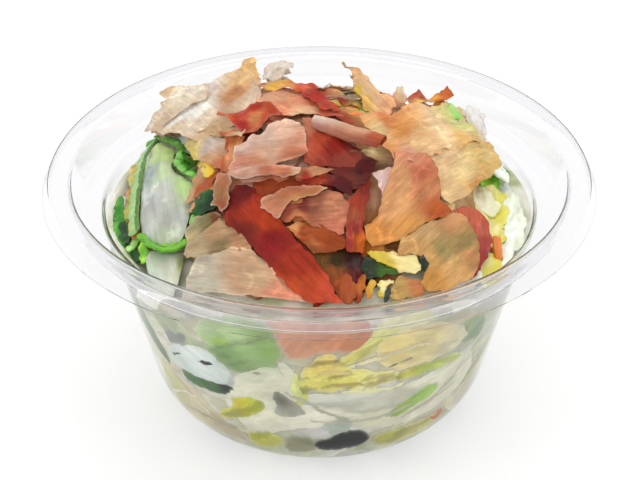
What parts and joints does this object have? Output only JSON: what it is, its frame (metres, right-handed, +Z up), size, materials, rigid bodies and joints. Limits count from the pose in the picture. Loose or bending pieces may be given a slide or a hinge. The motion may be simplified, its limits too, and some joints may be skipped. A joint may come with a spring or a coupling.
{
  "type": "pickled napa cabbage in a clear cup",
  "caption": "Cut pickled napa cabbage filling a clear round lidless cup, heaped with thin dried fish shavings on top.",
  "frame": {"origin": "middle of the cup's flat underside, on the surface it stands on", "axes": "+Z up along the cup's axis, -Y towards the viewer of the picture, +X to the viewer's right"},
  "size_m": [0.1298, 0.1298, 0.0839],
  "materials": {
    "clear_cup": "clear thin moulded plastic",
    "cabbage": "wet, pale, with green and yellow leaf",
    "stem": "wet white stem with a green frill",
    "leaf_yellow": "wet yellow leaf",
    "leaf_green": "wet dark green leaf",
    "carrot": "wet cut carrot",
    "shaving_pink": "thin dry fibrous sheet",
    "shaving_red": "thin dry fibrous sheet",
    "shaving_pale": "thin dry translucent sheet",
    "shaving_tan": "thin dry fibrous sheet"
  },
  "bodies": {
    "root": {"cup": "clear_cup", "cabbage_heap": "cabbage", "shavings_heap": "shaving_pink", "shaving_roll": "shaving_pink", "shaving_pink_grey": "shaving_pink", "shaving_tan_wide": "shaving_tan", "shaving_tan_round": "shaving_tan", "shaving_red_diagonal": "shaving_red", "shaving_pale_front": "shaving_pale", "shaving_crisp": "shaving_tan", "shaving_fan_back": "shaving_pale", "stem_left": "stem", "stem_low_left": "stem", "carrot_left": "carrot", "carrot_right": "carrot", "leaf_right": "leaf_yellow", "leaf_front": "leaf_yellow", "leaf_dark_front": "leaf_green"}
  },
  "joints": []
}
